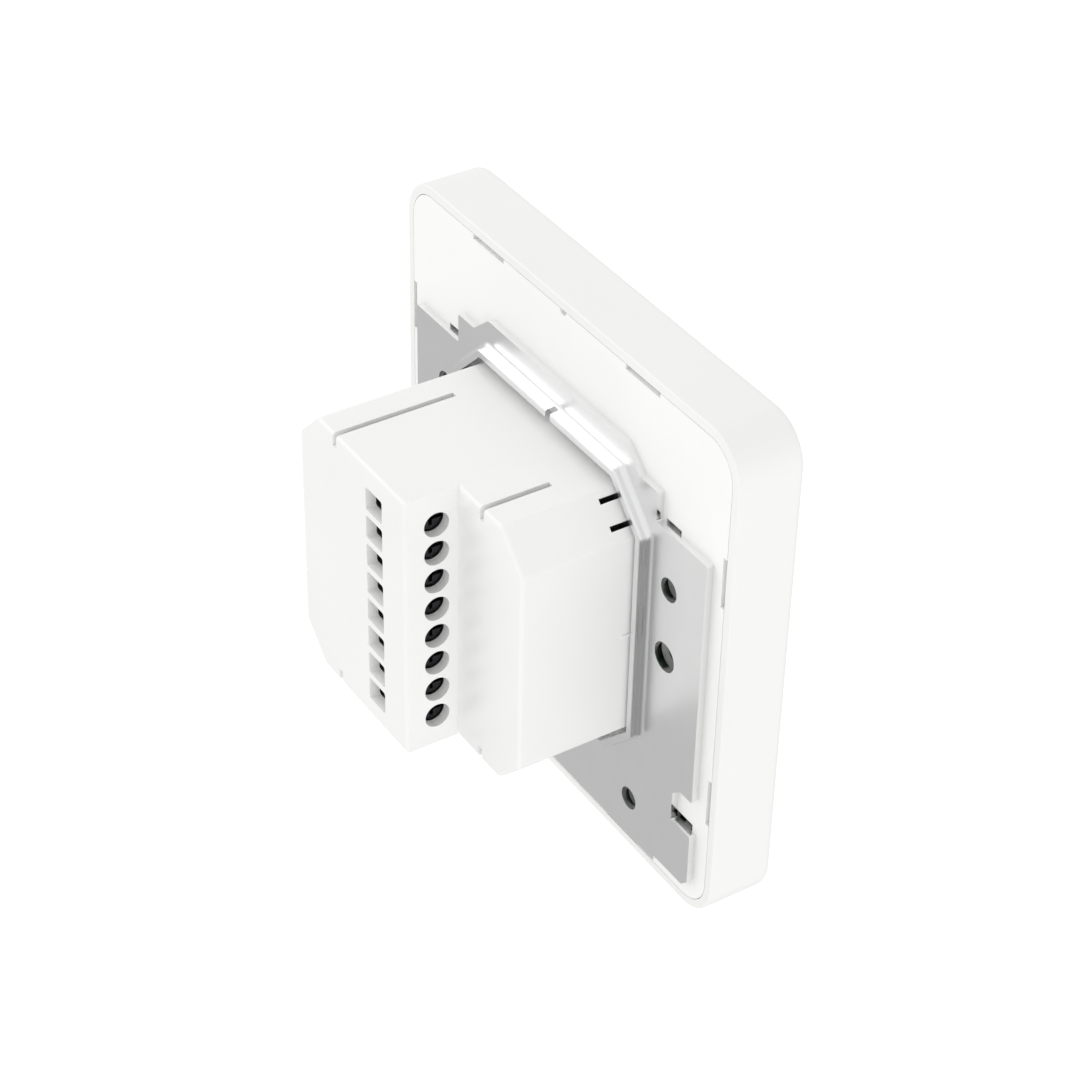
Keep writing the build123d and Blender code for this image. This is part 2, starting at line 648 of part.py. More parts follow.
def pin_header():
    """Plastic carrier of the connection pins on the front of the power board."""
    x_mid, z_mid = HEADER_PLACE
    body = block((x_mid - 6.4, x_mid + 6.4), (3.5, POWER_BOARD[0]), (z_mid - 2.5, z_mid + 2.5))
    for x, z in header_pins_places():
        body -= rod_y(0.5, (3, 7), x, z)
    return body


def header_pins():
    """Ten square pins joining the power board to the main board."""
    pins = []
    for x, z in header_pins_places():
        pin = block((x - 0.32, x + 0.32), (-5.2, POWER_BOARD[1]), (z - 0.32, z + 0.32))
        pins.append(chamfer(pin.faces().sort_by(Axis.Y)[0].edges(), 0.15))
    return Compound(children=pins)


def all_parts():
    """Every node name with its finished shape."""
    parts = {
        "front_shell": front_shell(),
        "display_window": display_window(),
        "rear_cover": rear_cover(),
        "main_board": main_board(),
        "board_screws": board_screws(),
        "lcd_cell": lcd_cell(),
        "light_guide": light_guide(),
        "backlight_leds": backlight_leds(),
        "switch_bodies": switch_bodies(),
        "controller_chip": controller_chip(),
        "temperature_sensor": temperature_sensor(),
        "board_socket": board_socket(),
        "mounting_plate": mounting_plate(),
        "module_housing": module_housing(),
        "module_lid": module_lid(),
        "terminal_block": terminal_block(),
        "power_board": power_board(),
        "terminal_contacts": terminal_contacts(),
        "relays": relays(),
        "transformer_core": transformer_core(),
        "transformer_coil": transformer_coil(),
        "smoothing_capacitor": smoothing_capacitor(),
        "mains_capacitor": mains_capacitor(),
        "surge_disc": surge_disc(),
        "fuse_resistor": fuse_resistor(),
        "pin_header": pin_header(),
        "header_pins": header_pins(),
    }
    for name, x in zip(KEY_NAMES, key_places()):
        parts["key_" + name] = key(name, x)
        parts["switch_plunger_" + name] = switch_plunger(x)
    for number, z in enumerate(terminal_heights(), start=1):
        parts["terminal_screw_" + str(number)] = terminal_screw(z)
        parts["terminal_clamp_" + str(number)] = terminal_clamp(z)
    return parts


os.makedirs("parts", exist_ok=True)
for node, shape in all_parts().items():
    export_step(shape, "parts/" + node + ".step")
    print(node, len(shape.solids()), "solid(s)", round(shape.volume, 1), "mm3")
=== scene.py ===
# %% [markdown]
# # A wall thermostat, taken off its wall box
#
# The real thing is a slim white room controller. Its front unit carries the display and the
# keys, a zinc coated steel plate is screwed to the wall box, and a white power module reaches
# into the box. The front, with its display and keys, and everything inside are typical of such a
# controller and not taken from one maker's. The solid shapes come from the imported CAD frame, so
# nothing here changes a size. This lesson gives every piece its finish, adds the small pieces
# that CAD left out, and sets up the light. Blender measures in metres, so every length passes
# through one millimetre factor.

# %% Load the fixed frame
import math
import bmesh
import bpy
from mathutils import Matrix, Quaternion, Vector


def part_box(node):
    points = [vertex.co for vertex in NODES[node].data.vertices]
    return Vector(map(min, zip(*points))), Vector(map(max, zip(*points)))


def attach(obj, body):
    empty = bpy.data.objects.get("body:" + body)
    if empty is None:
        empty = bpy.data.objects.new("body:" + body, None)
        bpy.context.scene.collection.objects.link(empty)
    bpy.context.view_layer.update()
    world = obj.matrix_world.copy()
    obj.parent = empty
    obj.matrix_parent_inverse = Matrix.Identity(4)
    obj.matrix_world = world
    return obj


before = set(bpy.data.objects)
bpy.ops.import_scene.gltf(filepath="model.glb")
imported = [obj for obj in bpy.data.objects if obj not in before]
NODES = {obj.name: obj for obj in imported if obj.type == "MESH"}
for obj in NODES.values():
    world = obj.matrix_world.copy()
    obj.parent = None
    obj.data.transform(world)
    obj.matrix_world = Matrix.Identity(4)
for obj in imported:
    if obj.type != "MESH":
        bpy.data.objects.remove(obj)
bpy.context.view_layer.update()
MM = 0.001
print("pieces in the frame:", len(NODES))

# %% [markdown]
# ## Colour and nodes
#
# Colours are written as the sRGB hex values that a paint chart gives. Blender's shaders work in
# linear light, so one function turns one into the other. A material is a small graph, and one
# helper adds a node to it: it sets the node's own properties, then fills its sockets with values
# or with links from other nodes. That keeps each recipe below short enough to read in one go.

# %% Helpers for colour and shader graphs
def linear(hex_colour):
    """An sRGB hex colour as the linear RGBA that shaders expect."""
    channels = [int(hex_colour[i:i + 2], 16) / 255 for i in (0, 2, 4)]
    bright = [c / 12.92 if c <= 0.04045 else ((c + 0.055) / 1.055) ** 2.4 for c in channels]
    return (*bright, 1.0)


def add(tree, kind, sockets=None, **settings):
    """Adds a node, sets its properties and fills its sockets with values or links."""
    made = tree.nodes.new(kind)
    for name, value in settings.items():
        setattr(made, name, value)
    for name, value in (sockets or {}).items():
        if isinstance(value, bpy.types.NodeSocket):
            tree.links.new(value, made.inputs[name])
        else:
            made.inputs[name].default_value = value
    return made


def begin(name, sockets):
    """A new material with one Principled surface, and the object coordinates in metres."""
    material = bpy.data.materials.new(name)
    material.use_nodes = True
    tree = material.node_tree
    tree.nodes.clear()
    surface = add(tree, "ShaderNodeBsdfPrincipled", sockets)
    add(tree, "ShaderNodeOutputMaterial", {"Surface": surface.outputs["BSDF"]})
    place = add(tree, "ShaderNodeTexCoord").outputs["Object"]
    return material, tree, surface, place


def per_metre(size_mm):
    """Texture scale that gives features of about this size in millimetres."""
    return 1.0 / (size_mm * MM)


def band_scale(radian_mm):
    """Wave texture scale for bands that turn one radian over this length in millimetres."""
    return per_metre(radian_mm) / 20


print("white in linear light:", [round(v, 3) for v in linear("F4F4F2")[:3]])

# %% [markdown]
# ## Moulded plastic
#
# Nearly all of the thermostat is injection moulded. A mould is spark eroded or polished, and its
# skin is printed on every part: a fine grain, about 0.1 mm across, that softens each highlight.
# A flat colour would look like paper, so the recipe has three layers: a faint cloud of shade
# over centimetres, where the resin cooled unevenly, the grain as a bump, and the same grain
# moving the roughness a little. The grain is drawn at 0.35 mm, coarser than the real one,
# because anything finer would not show.

# %% A recipe for moulded plastics
def moulded(name, colour, shade, roughness, ior=1.54, grain_mm=0.35, depth_mm=0.004):
    """A moulded resin: clouded colour, fine grain in the bump and in the roughness."""
    material, tree, surface, place = begin(name, {"IOR": ior})
    cloud = add(tree, "ShaderNodeTexNoise", {"Vector": place, "Scale": per_metre(18), "Detail": 2.0})
    mixed = add(
        tree, "ShaderNodeMix",
        {"Factor": cloud.outputs["Fac"], 6: linear(colour), 7: linear(shade)}, data_type="RGBA",
    )
    tree.links.new(mixed.outputs[2], surface.inputs["Base Color"])
    grain = add(
        tree, "ShaderNodeTexNoise",
        {"Vector": place, "Scale": per_metre(grain_mm), "Detail": 3.0, "Roughness": 0.6},
    )
    skin = add(
        tree, "ShaderNodeMapRange",
        {"Value": grain.outputs["Fac"], "To Min": roughness - 0.05, "To Max": roughness + 0.05},
    )
    tree.links.new(skin.outputs["Result"], surface.inputs["Roughness"])
    bump = add(
        tree, "ShaderNodeBump",
        {"Height": grain.outputs["Fac"], "Strength": 0.6, "Distance": depth_mm * MM},
    )
    tree.links.new(bump.outputs["Normal"], surface.inputs["Normal"])
    return material


# ABS: an opaque, slightly warm white with a satin skin, IOR about 1.54
abs_white = moulded("moulded_white_abs", "F1F1EF", "EDEDEB", roughness=0.42)
# The rear cover comes from another mould: the same ABS, a little paler and more matt
abs_cover = moulded("matt_white_abs", "F7F7F5", "F2F2F0", roughness=0.5)
# Polycarbonate blend of the power module: flame retardant, a touch greyer and smoother
polycarbonate_white = moulded(
    "moulded_white_polycarbonate", "F3F3F2", "EFEFEE", roughness=0.36, ior=1.58, depth_mm=0.003
)
# Nylon with carbon black: sockets, switch housings and the pin carrier
black_nylon = moulded("moulded_black_nylon", "1B1B1C", "242425", roughness=0.5, ior=1.53)
# Epoxy moulding compound: the chip body, duller and coarser than nylon
chip_epoxy = moulded("epoxy_moulding_compound", "222224", "2B2B2D", roughness=0.62, grain_mm=0.2)
# PBT: the blue grey relay cases, glossy from a polished mould
relay_pbt = moulded("moulded_blue_pbt", "2B4A78", "31527F", roughness=0.3, ior=1.57, depth_mm=0.002)
# Polypropylene box with epoxy fill: the mains capacitor
box_polypropylene = moulded("yellow_capacitor_box", "D8A93A", "CC9C30", roughness=0.38, ior=1.49)
# Dipped epoxy: the surge disc, thick and glossy with slow waves in the coat
dipped_epoxy = moulded(
    "dipped_blue_epoxy", "2E5E9E", "2A5590", roughness=0.22, grain_mm=1.2, depth_mm=0.02
)
# Cement lacquer: the fusible resistor, matt and gritty
lacquer_green = moulded(
    "flameproof_lacquer", "5E8C76", "557F6B", roughness=0.7, grain_mm=0.3, depth_mm=0.02
)
# Clear silicone cast on the side lights, over a white cup
led_silicone = moulded("led_silicone", "F1E9B8", "EDE3A8", roughness=0.25, ior=1.41, depth_mm=0.001)
# Milky PMMA: the light guide spreads the side light over the display
milky_acrylic = moulded("milky_acrylic", "E9EEF0", "E2E8EB", roughness=0.3, ior=1.49, depth_mm=0.001)
print("moulded resins:", len(bpy.data.materials))

# %% [markdown]
# ## The keys and their printed signs
#
# Each key is satin ABS with a shallow sign cut into its face and filled with grey paint. The
# paint lies only on the floor of the cut, so no extra geometry is needed: a mask keeps points
# whose depth equals the floor of the sign, near the middle of a key.
# The distance to the nearest key middle comes from one ping-pong of the width coordinate.

# %% Key material with filled signs
KEY_LOW, KEY_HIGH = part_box("key_fan")
KEY_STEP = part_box("key_down")[0].x - KEY_LOW.x
SIGN_DEPTH = 0.15 * MM
SIGN_FLOOR = KEY_LOW.y + SIGN_DEPTH


def key_finish():
    """White ABS, with grey paint on the floor of the engraved sign."""
    material = moulded("key_abs_with_paint", "F6F6F4", "F2F2F0", roughness=0.36, depth_mm=0.002)
    tree = material.node_tree
    surface = tree.nodes["Principled BSDF"]
    resin = surface.inputs["Base Color"].links[0].from_socket
    place = add(tree, "ShaderNodeTexCoord").outputs["Object"]
    axes = add(tree, "ShaderNodeSeparateXYZ", {"Vector": place})
    floor = add(
        tree, "ShaderNodeMath",
        {0: axes.outputs["Y"], 1: SIGN_FLOOR, 2: 0.03 * MM}, operation="COMPARE",
    )
    across = add(tree, "ShaderNodeMath", {0: axes.outputs["X"], 1: KEY_STEP / 2}, operation="PINGPONG")
    beside = add(
        tree, "ShaderNodeMath", {0: across.outputs["Value"], 1: 2.6 * MM}, operation="LESS_THAN"
    )
    middle_z = (KEY_LOW.z + KEY_HIGH.z) / 2
    above = add(
        tree, "ShaderNodeMath",
        {0: axes.outputs["Z"], 1: middle_z, 2: 2.2 * MM}, operation="COMPARE",
    )
    both = add(
        tree, "ShaderNodeMath",
        {0: floor.outputs["Value"], 1: beside.outputs["Value"]}, operation="MULTIPLY",
    )
    mask = add(
        tree, "ShaderNodeMath",
        {0: both.outputs["Value"], 1: above.outputs["Value"]}, operation="MULTIPLY",
    )
    painted = add(
        tree, "ShaderNodeMix",
        {"Factor": mask.outputs["Value"], 6: resin, 7: linear("6C7076")}, data_type="RGBA",
    )
    tree.links.new(painted.outputs[2], surface.inputs["Base Color"])
    return material


key_abs = key_finish()
print("key pitch in mm:", round(KEY_STEP / MM, 1))

# %% [markdown]
# ## Zinc coated sheet steel
#
# The wall plate is cold rolled sheet with a thin zinc coat. Its flat faces keep the long faint
# streaks of the rolls, so reflections are a little blurred, more along one direction than the
# other. Its cut edges and the turned collar are different: the punch has burnished them, and
# they shine almost like a mirror. One material can hold both, because the surface normal tells
# a flat face, which looks along Y, from an edge. A metal keeps the default IOR, since its
# colour alone says how it reflects. The terminal screws and the other small metal parts use a
# simpler recipe, with mottling in place of streaks.

# %% Metals
def sheet_steel():
    """Zinc coated rolled steel with burnished edges."""
    material, tree, surface, place = begin("zinc_coated_sheet_steel", {"Metallic": 1.0})
    cloud = add(tree, "ShaderNodeTexNoise", {"Vector": place, "Scale": per_metre(6), "Detail": 4.0})
    coat = add(
        tree, "ShaderNodeMix",
        {"Factor": cloud.outputs["Fac"], 6: linear("F2F2F2"), 7: linear("ECECED")}, data_type="RGBA",
    )
    tree.links.new(coat.outputs[2], surface.inputs["Base Color"])
    stretched = add(
        tree, "ShaderNodeMapping",
        {"Vector": place, "Scale": (per_metre(0.25), per_metre(0.25), per_metre(12))},
    )
    streaks = add(
        tree, "ShaderNodeTexNoise",
        {"Vector": stretched.outputs["Vector"], "Scale": 1.0, "Detail": 3.0},
    )
    face = add(
        tree, "ShaderNodeMapRange",
        {"Value": streaks.outputs["Fac"], "To Min": 0.30, "To Max": 0.38},
    )
    normal = add(tree, "ShaderNodeNewGeometry").outputs["Normal"]
    axes = add(tree, "ShaderNodeSeparateXYZ", {"Vector": normal})
    facing = add(tree, "ShaderNodeMath", {0: axes.outputs["Y"]}, operation="ABSOLUTE")
    flat = add(
        tree, "ShaderNodeMath", {0: facing.outputs["Value"], 1: 0.7}, operation="GREATER_THAN"
    )
    rough = add(
        tree, "ShaderNodeMix",
        {"Factor": flat.outputs["Value"], "A": 0.16, "B": face.outputs["Result"]}, data_type="FLOAT",
    )
    tree.links.new(rough.outputs["Result"], surface.inputs["Roughness"])
    bump = add(
        tree, "ShaderNodeBump",
        {"Height": streaks.outputs["Fac"], "Strength": 0.15, "Distance": 0.001 * MM},
    )
    tree.links.new(bump.outputs["Normal"], surface.inputs["Normal"])
    return material


def plated(name, colour, shade, roughness, mark_mm):
    """A small plated metal part: barrel plating leaves it mottled at the size of its knocks."""
    material, tree, surface, place = begin(name, {"Metallic": 1.0})
    knocks = add(
        tree, "ShaderNodeTexNoise", {"Vector": place, "Scale": per_metre(mark_mm), "Detail": 3.0}
    )
    coat = add(
        tree, "ShaderNodeMix",
        {"Factor": knocks.outputs["Fac"], 6: linear(colour), 7: linear(shade)}, data_type="RGBA",
    )
    tree.links.new(coat.outputs[2], surface.inputs["Base Color"])
    rough = add(
        tree, "ShaderNodeMapRange",
        {"Value": knocks.outputs["Fac"], "To Min": roughness - 0.06, "To Max": roughness + 0.08},
    )
    tree.links.new(rough.outputs["Result"], surface.inputs["Roughness"])
    bump = add(
        tree, "ShaderNodeBump",
        {"Height": knocks.outputs["Fac"], "Strength": 0.3, "Distance": 0.01 * MM},
    )
    tree.links.new(bump.outputs["Normal"], surface.inputs["Normal"])
    return material


zinc_sheet = sheet_steel()
# Zinc plated steel: the board screws and the wire clamps, bright with a cool tint
zinc_steel = plated("zinc_plated_steel", "C9CDD1", "B6BABF", roughness=0.26, mark_mm=0.8)
# Dark grey steel for the terminal screws: the dark colour is painted shade, standing for the shade at
# the bottom of their holes
screw_steel_painted_shade = plated("screw_steel_with_painted_shade", "4A4B4D", "3C3D3F", roughness=0.42, mark_mm=0.8)
# Tinned brass: the contacts and pins, a soft warm silver
tinned_brass = plated("tinned_brass", "D6D2C8", "C8C2B4", roughness=0.3, mark_mm=0.5)
# Tin solder: brighter and wavier than the parts that it holds
tin_solder = plated("tin_solder", "DADADA", "C4C5C6", roughness=0.2, mark_mm=0.3)
print("metals ready")

# %% [markdown]
# ## The display: acrylic, glass and lit segments
#
# From the front a thermostat shows a dark glossy window. It is smoked acrylic, and the display
# cell lies behind it. Real smoke tint absorbs light in depth. Here the tint sits in the
# transmission colour, because the window is thin and the two look alike. The cell is glass over
# a dark polariser, and faint bands stand for its electrode rows. They are drawn 3 mm apart, much
# wider than real ones, so that they show at all.

# %% Window and display glass
def smoked_acrylic():
    """Clear acrylic with a smoke tint and a polished face."""
    material, tree, surface, place = begin(
        "smoked_acrylic", {"IOR": 1.49, "Transmission Weight": 1.0}
    )
    cloud = add(tree, "ShaderNodeTexNoise", {"Vector": place, "Scale": per_metre(25)})
    tint = add(
        tree, "ShaderNodeMix",
        {"Factor": cloud.outputs["Fac"], 6: linear("8A8F95"), 7: linear("868B91")}, data_type="RGBA",
    )
    tree.links.new(tint.outputs[2], surface.inputs["Base Color"])
    rough = add(
        tree, "ShaderNodeMapRange",
        {"Value": cloud.outputs["Fac"], "To Min": 0.02, "To Max": 0.05},
    )
    tree.links.new(rough.outputs["Result"], surface.inputs["Roughness"])
    return material


def display_glass():
    """Glass cell over a dark polariser, with faint bands for its electrode rows."""
    material, tree, surface, place = begin(
        "display_cell_glass", {"IOR": 1.52, "Coat Weight": 0.6, "Coat Roughness": 0.05}
    )
    rows = add(
        tree, "ShaderNodeTexWave",
        {"Vector": place, "Scale": band_scale(0.5), "Distortion": 0.0},
        wave_type="BANDS", bands_direction="Z",
    )
    cell = add(
        tree, "ShaderNodeMix",
        {"Factor": rows.outputs["Fac"], 6: linear("15181B"), 7: linear("1B2024")}, data_type="RGBA",
    )
    tree.links.new(cell.outputs[2], surface.inputs["Base Color"])
    rough = add(
        tree, "ShaderNodeMapRange",
        {"Value": rows.outputs["Fac"], "To Min": 0.12, "To Max": 0.2},
    )
    tree.links.new(rough.outputs["Result"], surface.inputs["Roughness"])
    return material


def lit_segment():
    """A display segment: pale light that leaves through the cell, slightly uneven."""
    material, tree, surface, place = begin(
        "lit_display_segment", {"Roughness": 0.4, "Emission Strength": 0.9}
    )
    surface.inputs["Emission Color"].default_value = linear("E8F4FF")
    cloud = add(tree, "ShaderNodeTexNoise", {"Vector": place, "Scale": per_metre(8)})
    pale = add(
        tree, "ShaderNodeMix",
        {"Factor": cloud.outputs["Fac"], 6: linear("E4F0FA"), 7: linear("D4E4F0")}, data_type="RGBA",
    )
    tree.links.new(pale.outputs[2], surface.inputs["Base Color"])
    return material


window_acrylic = smoked_acrylic()
cell_glass = display_glass()
segment_light = lit_segment()
print("display materials ready")

# %% [markdown]
# ## Circuit boards, core, coil and capacitor sleeve
#
# A board is glass cloth laminate with a green lacquer over copper tracks. The tracks stand 35
# microns proud and look lighter through the lacquer. A Chebyshev Voronoi pattern gives blocks
# with straight sides and square corners, which read as copper areas, and its scale is set so
# that one block is about 3 mm across. The ferrite core is a pressed and fired grey ceramic. The
# coil is fine enamelled wire, drawn as round bands 1.3 mm wide, since single turns of real wire
# are too thin to show.

# %% Board, ferrite, copper and sleeve
def board_laminate():
    """Green lacquer over copper tracks on glass cloth laminate."""
    material, tree, surface, place = begin("glass_cloth_laminate", {"IOR": 1.55})
    areas = add(
        tree, "ShaderNodeTexVoronoi",
        {"Vector": place, "Scale": per_metre(3.0)}, distance="CHEBYCHEV", feature="F1",
    )
    edge = add(
        tree, "ShaderNodeMath", {0: areas.outputs["Distance"], 1: 0.42}, operation="GREATER_THAN"
    )
    lacquer = add(
        tree, "ShaderNodeMix",
        {"Factor": edge.outputs["Value"], 6: linear("2F7A4C"), 7: linear("1F5A38")},
        data_type="RGBA",
    )
    tree.links.new(lacquer.outputs[2], surface.inputs["Base Color"])
    rough = add(
        tree, "ShaderNodeMapRange",
        {"Value": areas.outputs["Distance"], "To Min": 0.25, "To Max": 0.4},
    )
    tree.links.new(rough.outputs["Result"], surface.inputs["Roughness"])
    bump = add(
        tree, "ShaderNodeBump",
        {"Height": edge.outputs["Value"], "Strength": 0.5, "Distance": 0.035 * MM}, invert=True,
    )
    tree.links.new(bump.outputs["Normal"], surface.inputs["Normal"])
    return material


def wound_wire():
    """Enamelled copper wire, with a round band for each group of turns."""
    material, tree, surface, place = begin("enamelled_copper_wire", {"Metallic": 0.85})
    turns = add(
        tree, "ShaderNodeTexWave",
        {"Vector": place, "Scale": band_scale(0.2), "Distortion": 0.4, "Detail": 1.0},
        wave_type="BANDS", bands_direction="Y",
    )
    copper = add(
        tree, "ShaderNodeMix",
        {"Factor": turns.outputs["Fac"], 6: linear("7A3B1E"), 7: linear("C77B45")}, data_type="RGBA",
    )
    tree.links.new(copper.outputs[2], surface.inputs["Base Color"])
    rough = add(
        tree, "ShaderNodeMapRange", {"Value": turns.outputs["Fac"], "To Min": 0.45, "To Max": 0.25}
    )
    tree.links.new(rough.outputs["Result"], surface.inputs["Roughness"])
    bump = add(
        tree, "ShaderNodeBump", {"Height": turns.outputs["Fac"], "Strength": 0.8, "Distance": 0.1 * MM}
    )
    tree.links.new(bump.outputs["Normal"], surface.inputs["Normal"])
    return material


def shrink_sleeve():
    """Dark shrink sleeve on the can, with the bare aluminium top inside its rolled rim."""
    material, tree, surface, place = begin("sleeved_aluminium_can", {"IOR": 1.53})
    low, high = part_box("smoothing_capacitor")
    axes = add(tree, "ShaderNodeSeparateXYZ", {"Vector": place})
    top = add(
        tree, "ShaderNodeMath", {0: axes.outputs["Y"], 1: high.y - 0.1 * MM}, operation="GREATER_THAN"
    )
    cloud = add(tree, "ShaderNodeTexNoise", {"Vector": place, "Scale": per_metre(2)})
    sleeve = add(
        tree, "ShaderNodeMix",
        {"Factor": cloud.outputs["Fac"], 6: linear("1E2A44"), 7: linear("24324F")}, data_type="RGBA",
    )
    can = add(
        tree, "ShaderNodeMix",
        {"Factor": top.outputs["Value"], 6: sleeve.outputs[2], 7: linear("C9CACB")}, data_type="RGBA",
    )
    tree.links.new(can.outputs[2], surface.inputs["Base Color"])
    tree.links.new(top.outputs["Value"], surface.inputs["Metallic"])
    rough = add(
        tree, "ShaderNodeMapRange", {"Value": cloud.outputs["Fac"], "To Min": 0.25, "To Max": 0.38}
    )
    tree.links.new(rough.outputs["Result"], surface.inputs["Roughness"])
    return material


laminate = board_laminate()
wire = wound_wire()
sleeve = shrink_sleeve()
# Ferrite: fired ceramic, dark grey, gritty and slightly glossy on its ground faces
ferrite = moulded(
    "fired_ferrite", "3A3B3D", "303133", roughness=0.45, ior=2.2, grain_mm=0.15, depth_mm=0.01
)
print("materials in all:", len(bpy.data.materials))

# %% [markdown]
# ## Dress every CAD piece
#
# Each CAD piece came in with a plain material named after its slot. The table below says which
# real finish stands for which piece. Names with a number or a word at the end, such as the
# terminal screws, share one entry, found by the start of the name. The colours of the inside
# parts are usual ones for their kind.

# %% Finish for each piece
FINISHES = {
    "front_shell": abs_white,
    "rear_cover": abs_cover,
    "display_window": window_acrylic,
    "lcd_cell": cell_glass,
    "light_guide": milky_acrylic,
    "backlight_leds": led_silicone,
    "main_board": laminate,
    "power_board": laminate,
    "board_screws": zinc_steel,
    "board_socket": black_nylon,
    "pin_header": black_nylon,
    "switch_bodies": black_nylon,
    "switch_plunger": moulded("moulded_white_acetal", "E8E6DF", "E0DED6", roughness=0.35, ior=1.48),
    "controller_chip": chip_epoxy,
    "temperature_sensor": chip_epoxy,
    "key_": key_abs,
    "mounting_plate": zinc_sheet,
    "module_housing": polycarbonate_white,
    "module_lid": polycarbonate_white,
    "terminal_block": black_nylon,
    # The terminal screws get a dark colour that is painted shade for the bottom of their holes
    "terminal_screw": screw_steel_painted_shade,
    "terminal_clamp": zinc_steel,
    "terminal_contacts": tinned_brass,
    "header_pins": tinned_brass,
    "relays": relay_pbt,
    "transformer_core": ferrite,
    "transformer_coil": wire,
    "smoothing_capacitor": sleeve,
    "mains_capacitor": box_polypropylene,
    "surge_disc": dipped_epoxy,
    "fuse_resistor": lacquer_green,
}

for node_name, node in NODES.items():
    finish = next(f for start, f in FINISHES.items() if node_name.startswith(start))
    for slot in node.material_slots:
        slot.material = finish
print("dressed pieces:", len(NODES))

# %% [markdown]
# ## Small pieces as one mesh each
#
# Many small parts share one shape: display segments, chip resistors and solder joints. Each kind
# is built as one mesh with bmesh, which makes every copy in place. Flat shapes are drawn as an
# outline on the front of the display and given a thickness. Boxes get a real bevel, because an
# edge that catches light is what tells the eye that a part is solid.

# %% Mesh helpers
def keep(bm, name, material, body):
    """Turns a bmesh into a piece that rides on a body."""
    mesh = bpy.data.meshes.new(name)
    bmesh.ops.recalc_face_normals(bm, faces=bm.faces)
    bm.to_mesh(mesh)
    bm.free()
    mesh.materials.append(material)
    piece = bpy.data.objects.new(name, mesh)
    bpy.context.scene.collection.objects.link(piece)
    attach(piece, body)
    print(name, "faces:", len(mesh.polygons))
    return piece


def plate_of(bm, outline, y_front, y_back):
    """A flat piece with this X-Z outline between two depths."""
    front = [bm.verts.new((x, y_front, z)) for x, z in outline]
    back = [bm.verts.new((x, y_back, z)) for x, z in outline]
    bm.faces.new(front)
    bm.faces.new(list(reversed(back)))
    count = len(outline)
    for n in range(count):
        following = (n + 1) % count
        bm.faces.new((front[n], back[n], back[following], front[following]))


def bevelled_box(bm, low, high, bevel):
    """A box between two corners with rounded edges."""
    middle = (Vector(low) + Vector(high)) / 2
    size = Vector(high) - Vector(low)
    place = Matrix.Translation(middle) @ Matrix.Diagonal((*size, 1.0))
    made = bmesh.ops.create_cube(bm, size=1.0, matrix=place)
    edges = {edge for vert in made["verts"] for edge in vert.link_edges}
    bmesh.ops.bevel(bm, geom=list(edges), offset=bevel, segments=2, profile=0.5, affect="EDGES")


def bar(ax, az, bx, bz, width):
    """Outline of a bar with pointed ends from one point to another, as display segments have."""
    start, end = Vector((ax, az)), Vector((bx, bz))
    along = (end - start).normalized() * (width / 2)
    side = Vector((-along.y, along.x))
    inner_start, inner_end = start + along, end - along
    points = [
        start, inner_start + side, inner_end + side, end, inner_end - side, inner_start - side,
    ]
    return [(p.x, p.y) for p in points]


# %% [markdown]
# ## Digits and signs on the display
#
# A segment display makes each digit from seven bars with pointed ends. A table of which bars are
# lit for each digit is all that is needed. The reading is a plain room temperature, with a degree
# ring, a row of fan bars and a frost star below. Each stands 0.05 mm in front of the glass, in
# the gap behind the window.

# %% Lit segments
GLASS_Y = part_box("lcd_cell")[0].y
SEGMENT_FRONT, SEGMENT_BACK = GLASS_Y - 0.06 * MM, GLASS_Y - 0.01 * MM
LIT = {"1": "bc", "2": "abged", "5": "afgcd"}


def digit(bm, text, x, z, width, height, stroke):
    """One seven segment digit with its lower left corner at x, z."""
    gap = stroke * 0.12
    half = height / 2
    ends = {
        "a": (0, height, width, height), "d": (0, 0, width, 0), "g": (0, half, width, half),
        "f": (0, half, 0, height), "e": (0, 0, 0, half),
        "b": (width, half, width, height), "c": (width, 0, width, half),
    }
    for name in LIT[text]:
        ax, az, bx, bz = ends[name]
        run = Vector((bx - ax, bz - az)).normalized() * gap
        outline = bar(x + ax + run.x, z + az + run.y, x + bx - run.x, z + bz - run.y, stroke)
        plate_of(bm, outline, SEGMENT_FRONT, SEGMENT_BACK)


def ring(bm, x, z, inner, outer, steps=24):
    """A flat ring made from short plates side by side."""
    turn = 2 * math.pi / steps
    for n in range(steps):
        corners = []
        for radius, angle in ((outer, n), (outer, n + 1), (inner, n + 1), (inner, n)):
            corners.append((x + radius * math.cos(angle * turn), z + radius * math.sin(angle * turn)))
        plate_of(bm, corners, SEGMENT_FRONT, SEGMENT_BACK)


